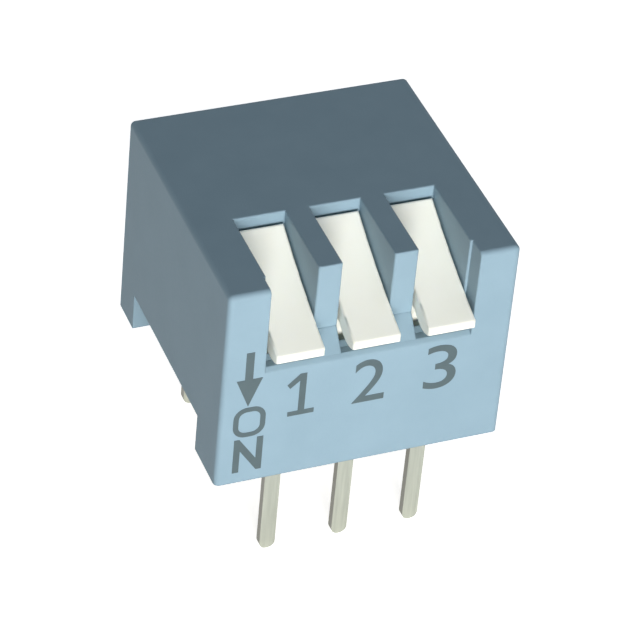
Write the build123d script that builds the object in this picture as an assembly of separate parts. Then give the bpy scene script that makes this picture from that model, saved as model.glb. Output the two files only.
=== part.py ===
"""Side-actuated DIP switch with three rocker levers, in millimetres.

The origin is the centre of the six-pin pattern on the board's surface. +X runs along the row of
levers, the levers face -Y, and +Z is up. Depths are given from the front face, towards the rear.
"""

import math
import os

from build123d import *

# Board pattern
pitch = 2.54
row_gap = 7.62
poles = (-1, 0, 1)

# Housing, with its width and depth at the top
body_w = 9.70
body_d = 9.65
body_h = 7.62
draft = 0.4
edge_r = 0.18
wall = 0.65
end_wall = 0.75
roof = 0.90
front_foot = 1.90
rear_foot = 1.40
notch_h = 1.40

# Slots for the levers, and the recess that the dividers' fronts stand back in
slot_w = 1.74
slot_rear = 3.72
sill_z = 4.39
recess_w = 6.96
recess_depth = 0.72
sill_slope = 18.0
sill_edge_r = 0.06
slot_edge_r = 0.07
rim_r = 0.04

# Lever pivot, and the swing from OFF to ON
pivot_depth = 1.95
pivot_z = 5.20
swing = 13.0
trunnion_r = 0.35
trunnion_reach = 1.20
groove_r = 0.39
groove_end = 0.06

# Rocker
rocker_w = 1.60
face_top = (3.62, 7.27)
face_low = (-0.46, 5.38)
face_dish = 0.12
nose_front = -0.56
nose_top = (nose_front, 5.28)
nose_end = (nose_front, 5.17)
nose_lip = (-0.49, 5.10)
belly = (0.10, 4.97)
nose_back = (0.70, 5.28)
throat = (1.02, 5.25)
tail_low = (3.60, 6.85)
stem_half = 0.75
stem_top = 0.95
stem_reach = 2.72
nose_corner_r = 0.16
face_edge_r = 0.05

# Contact ball and its spring, in the stem
ball_r = 0.50
ball_reach = 2.60
bore_r = 0.52
bore_start = 0.88
wire_r = 0.05
wire_sides = 6
coil_r = 0.38
coil_turns = 4
spring_gap = 0.01

# Base, terminals and seal
base_gap = 0.02
floor_z = 2.10
base_low = 0.95
seal_t = 0.25
saddle_gap = 0.015
saddle_drop = 0.20
pin_w = 0.54
pin_t = 0.28
pin_length = 4.03
tip_r = 0.26
tongue_w = 1.00
tongue_t = 0.25
track_gap = 0.01
track_rim = 0.03
contact_gap = 0.30

# Construction: how far a cutter runs past the solid, and how near an edge is to where it is sought
spare = 1.0
near = 0.01

front = -body_d / 2
pivot = Vector(0, front + pivot_depth, pivot_z)


def side(depth, z):
    """A point of a side profile, given by its depth behind the front face and its height."""
    return (front + depth, z)


def block(x0, x1, d0, d1, z0, z1):
    """A block between two depths behind the front face."""
    size = (x1 - x0, d1 - d0, z1 - z0)
    centre = ((x0 + x1) / 2, front + (d0 + d1) / 2, (z0 + z1) / 2)
    return Pos(*centre) * Box(*size)


def along_x(profile, width):
    """A side profile, drawn in depth and height, drawn out symmetrically along the row."""
    return extrude(Plane.YZ * profile, amount=width / 2, both=True)


def rod_x(radius, x0, x1):
    """A round rod on the levers' common pivot line."""
    centre = Vector((x0 + x1) / 2, pivot.Y, pivot.Z)
    return Pos(*centre) * Rot(0, 90, 0) * Cylinder(radius, x1 - x0)


def turned(shape, angle):
    """A shape swung about the pivot line: a positive angle lowers the levers' noses."""
    return shape.rotate(Axis(pivot, (1, 0, 0)), angle)


def outer_form():
    """The housing's outside: its ends and its rear lean in towards the top, by the draft."""
    lean = body_h * math.tan(math.radians(draft))
    top = Pos(0, 0, body_h) * Rectangle(body_w, body_d)
    bottom = Pos(0, lean / 2, 0) * Rectangle(body_w + 2 * lean, body_d + lean)
    form = loft([bottom, top])
    return fillet(form.edges().filter_by(lambda edge: edge.center().Z > near), edge_r)


def make_cover():
    """The housing: a block open below, with one chamber and one slot for each lever."""
    half = body_w / 2
    cover = outer_form() - front_void()

    # The pocket that takes the base, then the chambers and slots above it.
    cover -= block(end_wall - half, half - end_wall, wall, body_d - wall, -spare, floor_z)
    for pole in poles:
        x0 = pole * pitch - slot_w / 2
        x1 = pole * pitch + slot_w / 2
        cover -= block(x0, x1, wall, body_d - wall, floor_z - spare, body_h - roof)

    # One groove, open below, lets all the trunnions up to the pivot line.
    reach = pitch + trunnion_reach + groove_end
    grooves = rod_x(groove_r, -reach, reach)
    low, high = pivot_depth - groove_r, pivot_depth + groove_r
    grooves += block(-reach, reach, low, high, floor_z - spare, pivot_z)
    cover -= grooves

    # Notches in the end walls leave a foot at each corner.
    for x in (-half, half):
        notch = block(x - end_wall, x + end_wall, front_foot, body_d - rear_foot, -spare, notch_h)
        cover -= notch
    return soften_slots(cover)


def front_void():
    """The recess over the sloping sill, with the slots that run back from it."""
    plan = Pos(0, front + (recess_depth - spare) / 2) * Rectangle(recess_w, recess_depth + spare)
    for pole in poles:
        centre = front + slot_rear / 2
        plan += Pos(pole * pitch, centre) * Rectangle(slot_w, slot_rear)
    mouths = plan.vertices().filter_by_position(Axis.Y, *around(front + recess_depth))
    mouths = mouths.filter_by(lambda corner: abs(corner.X) < recess_w / 2 - near)
    above = body_h + spare
    column = extrude(fillet(mouths, slot_edge_r), amount=above)
    sill_rear = sill_z + recess_depth * math.tan(math.radians(sill_slope))
    outline = Polyline(
        side(-spare, 0),
        side(0, 0),
        side(0, sill_z),
        side(recess_depth, sill_rear),
        side(slot_rear, sill_rear),
        side(slot_rear, above),
        side(-spare, above),
        close=True,
    )
    profile = make_face(outline)
    sill_edge = profile.vertices().sort_by_distance((*side(0, sill_z), 0))[0]
    return column & along_x(fillet(sill_edge, sill_edge_r), recess_w)


def soften_slots(cover):
    """The small rounding of the slots' rims."""
    rims = cover.edges().filter_by_position(Axis.Z, *around(body_h))
    rims = rims.filter_by(lambda edge: abs(edge.center().X) < recess_w / 2 + near)
    rims = rims.filter_by(lambda edge: edge.center().Y < front + slot_rear + near)
    return fillet(rims, rim_r)


def around(value):
    """The two ends of a narrow band about a coordinate, for picking edges that lie at it."""
    return value - near, value + near


def make_base():
    """The moulding that closes the cover: a plate with saddles for the trunnions."""
    half = body_w / 2 - end_wall - base_gap
    base = block(-half, half, wall + base_gap, body_d - wall - base_gap, base_low, floor_z)
    divider = pitch - slot_w
    post_w = divider - 2 * base_gap
    depth0 = pivot_depth - groove_r + base_gap
    depth1 = pivot_depth + groove_r - base_gap
    top = pivot_z - saddle_drop
    for step in (-0.5, 0.5):
        x = step * pitch
        base += block(x - post_w / 2, x + post_w / 2, depth0, depth1, base_low, top)
    inner = pitch + slot_w / 2 + base_gap
    outer = pitch + trunnion_reach + groove_end - base_gap
    for x0, x1 in ((-outer, -inner), (inner, outer)):
        base += block(x0, x1, depth0, depth1, base_low, top)
    return base - rod_x(trunnion_r + saddle_gap, -body_w, body_w)


def make_rocker():
    """A lever: dished face, bellied nose, trunnions, and a stem bored for spring and ball."""
    low, high = Vector(*side(*face_low)), Vector(*side(*face_top))
    slope = (high - low).normalized()
    dish = (low + high) / 2 + Vector(slope.Y, -slope.X) * face_dish

    def on_stem(reach, offset):
        """A point of the stem's outline, from its distance to the pivot along the stem."""
        lean = math.radians(swing / 2)
        depth = pivot_depth - reach * math.sin(lean) + offset * math.cos(lean)
        height = pivot_z - reach * math.cos(lean) - offset * math.sin(lean)
        return side(depth, height)

    face = ThreePointArc((high.X, high.Y), (dish.X, dish.Y), (low.X, low.Y))
    nose = Polyline((low.X, low.Y), side(*nose_top), side(*nose_end), side(*nose_lip))
    under = ThreePointArc(side(*nose_lip), side(*belly), side(*nose_back))
    stem = Polyline(
        side(*nose_back),
        side(*throat),
        on_stem(stem_top, -stem_half),
        on_stem(stem_reach, -stem_half),
        on_stem(stem_reach, stem_half),
        on_stem(stem_top, stem_half),
        side(*tail_low),
        (high.X, high.Y),
    )
    rocker = along_x(make_face(Curve() + [face, nose, under, stem]), rocker_w)

    # The nose's corners are round in plan, and the rim of the face is eased.
    reach = body_d
    plan = Pos(0, front + nose_front + reach / 2, 0) * Rectangle(rocker_w, reach)
    corners = plan.vertices().group_by(Axis.Y)[0]
    rocker &= extrude(fillet(corners, nose_corner_r), amount=body_h + spare)
    rim = rocker.edges().filter_by(GeomType.CIRCLE).sort_by(lambda edge: edge.radius)[-2:]
    rim += rocker.edges().filter_by(Axis.X).sort_by(Axis.Z)[-1:]
    rocker = fillet(rim, face_edge_r)

    rocker += rod_x(trunnion_r, -trunnion_reach, trunnion_reach)
    bore_end = stem_reach + spare
    bore = Pos(0, 0, -(bore_start + bore_end) / 2) * Cylinder(bore_r, bore_end - bore_start)
    return rocker - turned(Pos(*pivot) * bore, -swing / 2)


def make_spring():
    """A compression spring between the bore's end and the ball, its fine wire drawn six-sided."""
    top = bore_start + wire_r + spring_gap
    seat = math.sqrt((ball_r + wire_r) ** 2 - coil_r**2) + spring_gap
    length = ball_reach - seat - top
    path = Helix(pitch=length / coil_turns, height=length, radius=coil_r)
    section = Plane(origin=path @ 0, z_dir=path % 0) * RegularPolygon(wire_r, wire_sides)
    spring = sweep(section, path=path, is_frenet=True)
    placed = Pos(*pivot) * Pos(0, 0, -top - length) * spring
    return turned(placed, -swing / 2)


def make_ball():
    """The contact ball at the stem's end."""
    return turned(Pos(*pivot) * Pos(0, 0, -ball_reach) * Sphere(ball_r), -swing / 2)


def make_terminal(row):
    """A stamped terminal: a flat pin below, and a tongue that the ball rolls on."""
    pin_depth = body_d / 2 + row * row_gap / 2
    gap_depth = pivot_depth + (ball_reach + ball_r) * math.sin(math.radians(swing / 2))
    top = pivot_z - ball_reach - ball_r - track_gap + track_rim
    pin = block(-pin_w / 2, pin_w / 2, pin_depth - pin_t / 2, pin_depth + pin_t / 2, -pin_length, top)
    tips = pin.edges().filter_by(Axis.Y).sort_by(Axis.Z)[:2]
    pin = fillet(tips, tip_r)
    if row < 0:
        tongue = (pin_depth - pin_t / 2, gap_depth - contact_gap / 2)
    else:
        tongue = (gap_depth + contact_gap / 2, pin_depth + pin_t / 2)
    terminal = pin + block(-tongue_w / 2, tongue_w / 2, *tongue, top - tongue_t, top)
    return terminal - rod_x(ball_reach + ball_r + track_gap, -tongue_w, tongue_w)


def make_seal():
    """The epoxy layer under the base."""
    half = body_w / 2 - end_wall - base_gap
    return block(-half, half, wall + base_gap, body_d - wall - base_gap, base_low - seal_t, base_low)


cover = make_cover()
base = make_base()
seal = make_seal()
parts = {"cover": cover}
for pole in poles:
    place = Pos(pole * pitch, 0, 0)
    number = pole + 2
    parts[f"rocker_{number}"] = place * make_rocker()
    parts[f"spring_{number}"] = place * make_spring()
    parts[f"ball_{number}"] = place * make_ball()
    for row, name in ((-1, "front"), (1, "rear")):
        terminal = place * make_terminal(row)
        base -= terminal
        seal -= terminal
        parts[f"terminal_{name}_{number}"] = terminal
parts["base"] = base
parts["seal"] = seal

os.makedirs("parts", exist_ok=True)
for name, shape in parts.items():
    export_step(shape, f"parts/{name}.step")
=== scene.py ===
"""Finish, print, light and camera for a three-lever DIP switch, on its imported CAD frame."""

import math

import bmesh
import bpy
from mathutils import Matrix, Vector


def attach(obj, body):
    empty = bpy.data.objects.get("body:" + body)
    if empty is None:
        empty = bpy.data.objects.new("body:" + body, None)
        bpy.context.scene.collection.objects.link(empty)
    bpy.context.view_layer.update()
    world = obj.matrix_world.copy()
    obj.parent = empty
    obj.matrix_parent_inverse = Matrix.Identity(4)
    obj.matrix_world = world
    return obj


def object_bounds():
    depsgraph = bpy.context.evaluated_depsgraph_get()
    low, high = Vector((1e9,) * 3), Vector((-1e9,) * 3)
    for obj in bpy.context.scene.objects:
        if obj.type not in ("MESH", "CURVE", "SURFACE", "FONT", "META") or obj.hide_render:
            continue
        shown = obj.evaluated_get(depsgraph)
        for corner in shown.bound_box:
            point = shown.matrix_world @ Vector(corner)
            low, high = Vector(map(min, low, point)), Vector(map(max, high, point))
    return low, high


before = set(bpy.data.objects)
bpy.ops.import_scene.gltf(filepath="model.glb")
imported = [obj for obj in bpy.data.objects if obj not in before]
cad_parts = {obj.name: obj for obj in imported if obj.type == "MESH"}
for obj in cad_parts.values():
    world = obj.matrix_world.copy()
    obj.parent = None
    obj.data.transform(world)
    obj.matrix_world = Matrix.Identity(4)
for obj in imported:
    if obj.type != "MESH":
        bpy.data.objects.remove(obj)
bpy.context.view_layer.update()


# The housing is one injection moulding in a glass-filled polyester. The tool's spark-eroded
# texture leaves it satin, and the glass clouds its blue-grey faintly. The grain is drawn a few
# times coarser than the real one, so that it shows.
MM = 0.001


def linear(code):
    """The linear colour, with alpha, of an sRGB hex code."""
    channels = [int(code[i : i + 2], 16) / 255 for i in (1, 3, 5)]
    return [c / 12.92 if c <= 0.04045 else ((c + 0.055) / 1.055) ** 2.4 for c in channels] + [1.0]


def add_node(tree, kind, settings=None, links=None):
    """Adds a shader node: settings by property or socket name, links from other nodes' outputs.

    Where two sockets share a name, the name means the first.
    """
    node = tree.nodes.new("ShaderNode" + kind)
    for name, value in (settings or {}).items():
        if hasattr(node, name):
            setattr(node, name, value)
    sockets = {socket.name: socket for socket in reversed(node.inputs) if socket.enabled}
    for name, value in (settings or {}).items():
        if name in sockets:
            sockets[name].default_value = value
    for name, output in (links or {}).items():
        tree.links.new(output, sockets[name])
    return node


def new_material(name):
    """A named material with its tree, its surface shader and its Object coordinates."""
    material = bpy.data.materials.new(name)
    material.use_nodes = True
    tree = material.node_tree
    tree.nodes.clear()
    shader = add_node(tree, "BsdfPrincipled")
    add_node(tree, "OutputMaterial", links={"Surface": shader.outputs["BSDF"]})
    coords = add_node(tree, "TexCoord").outputs["Object"]
    return material, tree, shader, coords


def grained_finish(name, light, dark, grain, cloud, roughness, relief, edge=0.0):
    """Two close colours in clouds under a fine grain, with all sizes in millimetres.

    An edge above 0 rounds the shading of sharp edges to that radius.
    """
    roughness_spread = 0.06
    material, tree, shader, coords = new_material(name)
    clouds = add_node(
        tree, "TexNoise", {"Scale": 1 / (cloud * MM), "Detail": 3.0}, {"Vector": coords}
    )
    shades = add_node(
        tree,
        "Mix",
        {"data_type": "RGBA", "A": linear(dark), "B": linear(light)},
        {"Factor": clouds.outputs["Fac"]},
    )
    grains = add_node(
        tree, "TexNoise", {"Scale": 1 / (grain * MM), "Detail": 4.0}, {"Vector": coords}
    )
    gloss = add_node(
        tree,
        "MapRange",
        {"To Min": roughness - roughness_spread, "To Max": roughness + roughness_spread},
        {"Value": grains.outputs["Fac"]},
    )
    bump = add_node(
        tree, "Bump", {"Distance": relief * MM}, {"Height": grains.outputs["Fac"]}
    )
    if edge:
        eased = add_node(tree, "Bevel", {"samples": 4, "Radius": edge * MM})
        tree.links.new(eased.outputs["Normal"], bump.inputs["Normal"])
    tree.links.new(shades.outputs["Result"], shader.inputs["Base Color"])
    tree.links.new(gloss.outputs["Result"], shader.inputs["Roughness"])
    tree.links.new(bump.outputs["Normal"], shader.inputs["Normal"])
    return material, shader


def finish_node(node, material):
    """Gives a CAD node its material."""
    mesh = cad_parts[node].data
    mesh.materials.clear()
    mesh.materials.append(material)


housing_plastic, housing_shader = grained_finish(
    "glass filled polyester, blue-grey",
    light="#8aa2af",
    dark="#8199a6",
    grain=0.12,
    cloud=1.5,
    roughness=0.52,
    relief=0.004,
    edge=0.07,
)
housing_shader.inputs["Specular IOR Level"].default_value = 0.2
finish_node("cover", housing_plastic)


# The sill under the levers has a steep lip along its front edge, and each divider between the
# slots runs out at its foot in the same slope. Both belong to the housing's moulding, and are
# made as solids set into the CAD's sill.
front_y = -4.825 * MM
pitch = 2.54 * MM
lip_half = 3.47 * MM
lip_profile = (
    (0.005, 4.36),
    (0.02, 4.395),
    (0.14, 4.51),
    (0.40, 4.52),
    (0.40, 4.40),
    (0.08, 4.34),
)
foot_half = 0.38 * MM
foot_edge = 0.04 * MM
foot_profile = ((0.06, 4.42), (0.74, 5.20), (0.74, 4.42))


def new_object(name, data):
    """Puts a mesh, lamp or camera in the scene as an object at the origin."""
    placed = bpy.data.objects.new(name, data)
    bpy.context.collection.objects.link(placed)
    return placed


def mesh_of(name, shape):
    """The mesh of a finished bmesh, which is freed."""
    mesh = bpy.data.meshes.new(name)
    shape.to_mesh(mesh)
    shape.free()
    return mesh


def add_to_housing(name, mesh, material):
    """Adds a mesh, already in its place, as a piece of the housing."""
    mesh.materials.append(material)
    piece = new_object(name, mesh)
    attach(piece, "housing")
    return piece


def draw_out(shape, along):
    """Draws a flat bmesh out into a solid, its faces outwards."""
    drawn = bmesh.ops.extrude_face_region(shape, geom=shape.faces[:])["geom"]
    moved = [item for item in drawn if isinstance(item, bmesh.types.BMVert)]
    bmesh.ops.translate(shape, verts=moved, vec=along)
    bmesh.ops.recalc_face_normals(shape, faces=shape.faces[:])


def sill_piece(name, left, right, profile, edge=0.0):
    """A solid between two places in X, its profile in millimetres behind the front and up."""
    shape = bmesh.new()
    corners = [(left, front_y + depth * MM, height * MM) for depth, height in profile]
    shape.faces.new([shape.verts.new(corner) for corner in corners])
    draw_out(shape, (right - left, 0, 0))
    if edge:
        ends = [e for e in shape.edges if e.verts[0].co.x == e.verts[1].co.x]
        bmesh.ops.bevel(
            shape, geom=ends, offset=edge, affect="EDGES", segments=3, profile=0.5, material=-1
        )
    piece = add_to_housing(name, mesh_of(name, shape), housing_plastic)


sill_piece("sill_lip", -lip_half, lip_half, lip_profile)
for name, divider_x in (("divider_foot_left", -pitch / 2), ("divider_foot_right", pitch / 2)):
    sill_piece(name, divider_x - foot_half, divider_x + foot_half, foot_profile, foot_edge)


# The three rockers are unfilled nylon mouldings, off-white and a little translucent, polished
# by fingers on the face and nose.
rocker_plastic, rocker_shader = grained_finish(
    "nylon, off-white",
    light="#fffdf0",
    dark="#fbf9ea",
    grain=0.10,
    cloud=1.0,
    roughness=0.42,
    relief=0.002,
    edge=0.10,
)
rocker_shader.inputs["Subsurface Weight"].default_value = 0.15
rocker_shader.inputs["Subsurface Radius"].default_value = (1.0, 0.9, 0.7)
rocker_shader.inputs["Subsurface Scale"].default_value = 0.3 * MM
levers = (1, 2, 3)
for number in levers:
    finish_node(f"rocker_{number}", rocker_plastic)


# The terminals are stamped from bronze strip that was tin plated first: a soft white metal with
# faint lines from the rolls, and painted shade that darkens the side faces across the pins. The
# lines run along the pins, and are drawn coarser than the real ones, so that they show.
line_spacing = 0.08
line_stretch = 0.05
# Where the painted shade on the pins' side faces begins and where it is full, by the X of their
# normal.
side_shade_from, side_shade_full = 0.6, 0.8
line_relief = 0.002
tin, tin_tree, tin_shader, tin_coords = new_material("tin plate, rolled")
along_pin = add_node(
    tin_tree, "Mapping", {"Scale": (1.0, 1.0, line_stretch)}, {"Vector": tin_coords}
)
lines = add_node(
    tin_tree,
    "TexNoise",
    {"Scale": 1 / (line_spacing * MM), "Detail": 4.0},
    {"Vector": along_pin.outputs["Vector"]},
)
plate = add_node(
    tin_tree,
    "Mix",
    {"data_type": "RGBA", "A": linear("#9fa297"), "B": linear("#bfc1b4")},
    {"Factor": lines.outputs["Fac"]},
)
# Painted shade: the faces that point along X, the sides of the pins, are mixed towards a dark
# grey.
facing = add_node(tin_tree, "SeparateXYZ", links={"Vector": tin_coords.node.outputs["Normal"]})
sideways = add_node(
    tin_tree, "Math", {"operation": "ABSOLUTE"}, {"Value": facing.outputs["X"]}
)
painted_side_shade = add_node(
    tin_tree,
    "MapRange",
    {"From Min": side_shade_from, "From Max": side_shade_full},
    {"Value": sideways.outputs["Value"]},
)
plate_with_painted_shade = add_node(
    tin_tree,
    "Mix",
    {"data_type": "RGBA", "B": linear("#6f6f66")},
    {"Factor": painted_side_shade.outputs["Result"], "A": plate.outputs["Result"]},
)
sheen = add_node(
    tin_tree, "MapRange", {"To Min": 0.26, "To Max": 0.42}, {"Value": lines.outputs["Fac"]}
)
ridges = add_node(
    tin_tree, "Bump", {"Distance": line_relief * MM}, {"Height": lines.outputs["Fac"]}
)
tin_shader.inputs["Metallic"].default_value = 1.0
tin_tree.links.new(plate_with_painted_shade.outputs["Result"], tin_shader.inputs["Base Color"])
tin_tree.links.new(sheen.outputs["Result"], tin_shader.inputs["Roughness"])
tin_tree.links.new(ridges.outputs["Normal"], tin_shader.inputs["Normal"])
for number in levers:
    finish_node(f"terminal_front_{number}", tin)
    finish_node(f"terminal_rear_{number}", tin)


# The base that closes the housing is moulded in the same polyester, in black. It is seen only
# from below, round the amber epoxy that is poured in to seal the terminals.
base_plastic, _ = grained_finish(
    "glass filled polyester, black",
    light="#2b2d2f",
    dark="#232527",
    grain=0.12,
    cloud=1.5,
    roughness=0.5,
    relief=0.004,
)
finish_node("base", base_plastic)
epoxy, _ = grained_finish(
    "poured epoxy, amber",
    light="#8a7a52",
    dark="#7c6c46",
    grain=0.9,
    cloud=2.0,
    roughness=0.22,
    relief=0.02,
)
finish_node("seal", epoxy)


# Inside each stem a wound steel spring pushes a gold plated ball onto the terminals. The wire is
# bright from the drawing die, and the balls are smooth from tumbling.
steel, steel_shader = grained_finish(
    "spring steel, drawn",
    light="#b4b5b6",
    dark="#a2a3a5",
    grain=0.05,
    cloud=0.4,
    roughness=0.3,
    relief=0.001,
)
gold, gold_shader = grained_finish(
    "gold flash, tumbled",
    light="#e6c06a",
    dark="#d9b159",
    grain=0.08,
    cloud=0.4,
    roughness=0.2,
    relief=0.001,
)
steel_shader.inputs["Metallic"].default_value = 1.0
gold_shader.inputs["Metallic"].default_value = 1.0
for number in levers:
    finish_node(f"spring_{number}", steel)
    finish_node(f"ball_{number}", gold)


# The marks are pad printed on the front in grey ink, a film that stands a hundredth of a
# millimetre proud: an arrow and the word ON at the left, and a number under each lever.
ink_film = 0.02 * MM
ink, _ = grained_finish(
    "pad print ink, grey",
    light="#48595d",
    dark="#3e4d51",
    grain=0.15,
    cloud=0.5,
    roughness=0.6,
    relief=0.002,
)


def print_on_front(name, mesh):
    """Stands a mark, drawn flat in X and Y about its own middle plane, in the front face."""
    stand = Matrix.Rotation(math.radians(90), 4, "X")
    mesh.transform(Matrix.Translation((0, front_y, 0)) @ stand)
    add_to_housing(name, mesh, ink)


def print_text(name, text, across, up, bolder=0.0):
    """A character that fills its place on the front, from left to right and up, in millimetres."""
    curve = bpy.data.curves.new(name, "FONT")
    curve.body = text
    curve.offset = bolder
    curve.extrude = 0.5  # one unit thick in all, to be scaled to the film
    drawn = bpy.data.objects.new(name, curve)
    mesh = bpy.data.meshes.new_from_object(drawn)
    bpy.data.objects.remove(drawn)
    xs = [v.co.x for v in mesh.vertices]
    ys = [v.co.y for v in mesh.vertices]
    to_corner = Matrix.Translation((-min(xs), -min(ys), 0))
    wide = (across[1] - across[0]) * MM / (max(xs) - min(xs))
    high = (up[1] - up[0]) * MM / (max(ys) - min(ys))
    to_place = Matrix.Translation((across[0] * MM, up[0] * MM, 0))
    mesh.transform(to_place @ Matrix.Diagonal((wide, high, ink_film, 1)) @ to_corner)
    mesh.name = name
    print_on_front(name, mesh)


def print_outline(name, corners, round_r=0.0, stroke=0.0):
    """A mark by its corners, which round_r rounds, filled or a ring of that stroke, in mm."""
    shape = bmesh.new()
    shape.faces.new([shape.verts.new((x * MM, z * MM, -ink_film / 2)) for x, z in corners])
    if round_r:
        bmesh.ops.bevel(
            shape,
            geom=shape.verts[:],
            offset=round_r * MM,
            affect="VERTICES",
            segments=8,
            profile=0.5,
            material=-1,
        )
    if stroke:
        inside = shape.faces[:]
        bmesh.ops.inset_region(
            shape,
            faces=inside,
            thickness=stroke * MM,
            use_boundary=True,
            use_even_offset=True,
        )
        bmesh.ops.delete(shape, geom=inside, context="FACES")
    draw_out(shape, (0, 0, ink_film))
    print_on_front(name, mesh_of(name, shape))


print_text("print_2", "2", across=(-0.44, 0.65), up=(2.42, 4.14))
print_text("print_3", "3", across=(2.00, 3.10), up=(2.40, 4.18))
print_text("print_N", "N", across=(-4.35, -3.37), up=(0.43, 1.80), bolder=0.03)

o_left, o_right, o_low, o_high = -4.43, -3.35, 1.88, 3.09
print_outline(
    "print_O",
    ((o_left, o_low), (o_right, o_low), (o_right, o_high), (o_left, o_high)),
    round_r=0.44,
    stroke=0.18,
)

stem_left, stem_right, stem_top = -2.28, -2.06, 4.09
serif_left, serif_right, serif_low, serif_top = -2.62, -1.73, 2.40, 2.58
flag_low, flag_high, flag_root = (-2.60, 3.54), (-2.70, 3.70), (stem_left, 3.81)
print_outline(
    "print_1",
    (
        (serif_left, serif_low),
        (serif_right, serif_low),
        (serif_right, serif_top),
        (stem_right, serif_top),
        (stem_right, stem_top),
        (stem_left, stem_top),
        flag_high,
        flag_low,
        flag_root,
        (stem_left, serif_top),
        (serif_left, serif_top),
    ),
)

shaft_left, shaft_right, shaft_top = -4.15, -3.88, 5.32
head_left, head_right, head_top = -4.42, -3.55, 4.24
head_tip = (-3.98, 3.14)
print_outline(
    "print_arrow",
    (
        (shaft_left, shaft_top),
        (shaft_left, head_top),
        (head_left, head_top),
        head_tip,
        (head_right, head_top),
        (shaft_right, head_top),
        (shaft_right, shaft_top),
    ),
)


# The switch stands on the tips of its pins on a white board. The board and the air behind it
# show the camera plain white, and give the object only a soft light.
low_corner, high_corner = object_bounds()
board_half = 300 * MM
board_glow = 0.80
air_light = 0.06


def seen_rays(tree):
    """One for the rays that see, straight, mirrored or through glass, and nought for the rest."""
    rays = add_node(tree, "LightPath").outputs
    direct = add_node(tree, "Math", {"operation": "MAXIMUM"}, {"Value": rays["Is Camera Ray"]})
    tree.links.new(rays["Is Glossy Ray"], direct.inputs[1])
    seen = add_node(tree, "Math", {"operation": "MAXIMUM"}, {"Value": direct.outputs["Value"]})
    tree.links.new(rays["Is Transmission Ray"], seen.inputs[1])
    return seen.outputs["Value"]


board_shape = bmesh.new()
bmesh.ops.create_grid(board_shape, x_segments=1, y_segments=1, size=board_half)
bmesh.ops.translate(board_shape, verts=board_shape.verts, vec=(0, 0, low_corner.z))
floor = new_object("floor", mesh_of("floor", board_shape))
board, board_tree, board_shader, _ = new_material("white board")
board_shader.inputs["Base Color"].default_value = linear("#f4f4f2")
board_shader.inputs["Roughness"].default_value = 0.9
board_shader.inputs["Emission Color"].default_value = linear("#ffffff")
glow = add_node(board_tree, "MapRange", {"To Max": board_glow}, {"Value": seen_rays(board_tree)})
board_tree.links.new(glow.outputs["Result"], board_shader.inputs["Emission Strength"])
floor.data.materials.append(board)

world = bpy.data.worlds.new("studio")
bpy.context.scene.world = world
world.use_nodes = True
air_tree = world.node_tree
air_tree.nodes.clear()
strength = add_node(
    air_tree, "MapRange", {"To Min": air_light, "To Max": 1.0}, {"Value": seen_rays(air_tree)}
)
air = add_node(
    air_tree,
    "Background",
    {"Color": linear("#ffffff")},
    {"Strength": strength.outputs["Result"]},
)
add_node(air_tree, "OutputWorld", links={"Surface": air.outputs["Background"]})


# A broad softbox stands low in front, a little to the left. A weak and slightly cool one hangs
# overhead, and one more fills the back, out of the glossy reflections.
lamp_distance = 160 * MM


def softbox(name, direction, size, level, colour="#ffffff"):
    """A square lamp aimed at the switch: at level 1 it lights a white face turned to it white."""
    lamp = bpy.data.lights.new(name, "AREA")
    lamp.size = size * MM
    lamp.energy = level * math.pi**2 * lamp_distance**2
    lamp.color = linear(colour)[:3]
    holder = new_object(name, lamp)
    towards = Vector(direction).normalized()
    holder.location = (low_corner + high_corner) / 2 + towards * lamp_distance
    holder.rotation_euler = towards.to_track_quat("Z", "Y").to_euler()
    return holder


softbox("front_softbox", direction=(-0.18, -0.97, 0.10), size=80, level=1.70)
softbox("overhead_softbox", direction=(0.10, 0.05, 1.00), size=110, level=0.14, colour="#d4ebff")
fill = softbox("rear_softbox", direction=(0.35, 0.93, 0.05), size=110, level=0.35)
fill.visible_glossy = False


# The camera looks down at the switch from its left front, through a long lens. Its place, its
# turn and its lens were fitted to the housing's straight edges.
camera_place = Vector((-33.764, -75.139, 68.104)) * MM
azimuth, elevation, roll = (math.radians(angle) for angle in (24.442, 38.739, 5.547))
camera = bpy.data.cameras.new("camera")
camera.sensor_width = 36.0
camera.lens = 180.7
camera.clip_start = 1 * MM
camera.clip_end = 2000 * MM
viewer = new_object("camera", camera)
viewer.location = camera_place
viewer.rotation_euler = (
    Matrix.Rotation(-azimuth, 3, "Z")
    @ Matrix.Rotation(math.radians(90) - elevation, 3, "X")
    @ Matrix.Rotation(roll, 3, "Z")
).to_euler()
bpy.context.scene.camera = viewer
bpy.context.scene.view_settings.view_transform = "Standard"
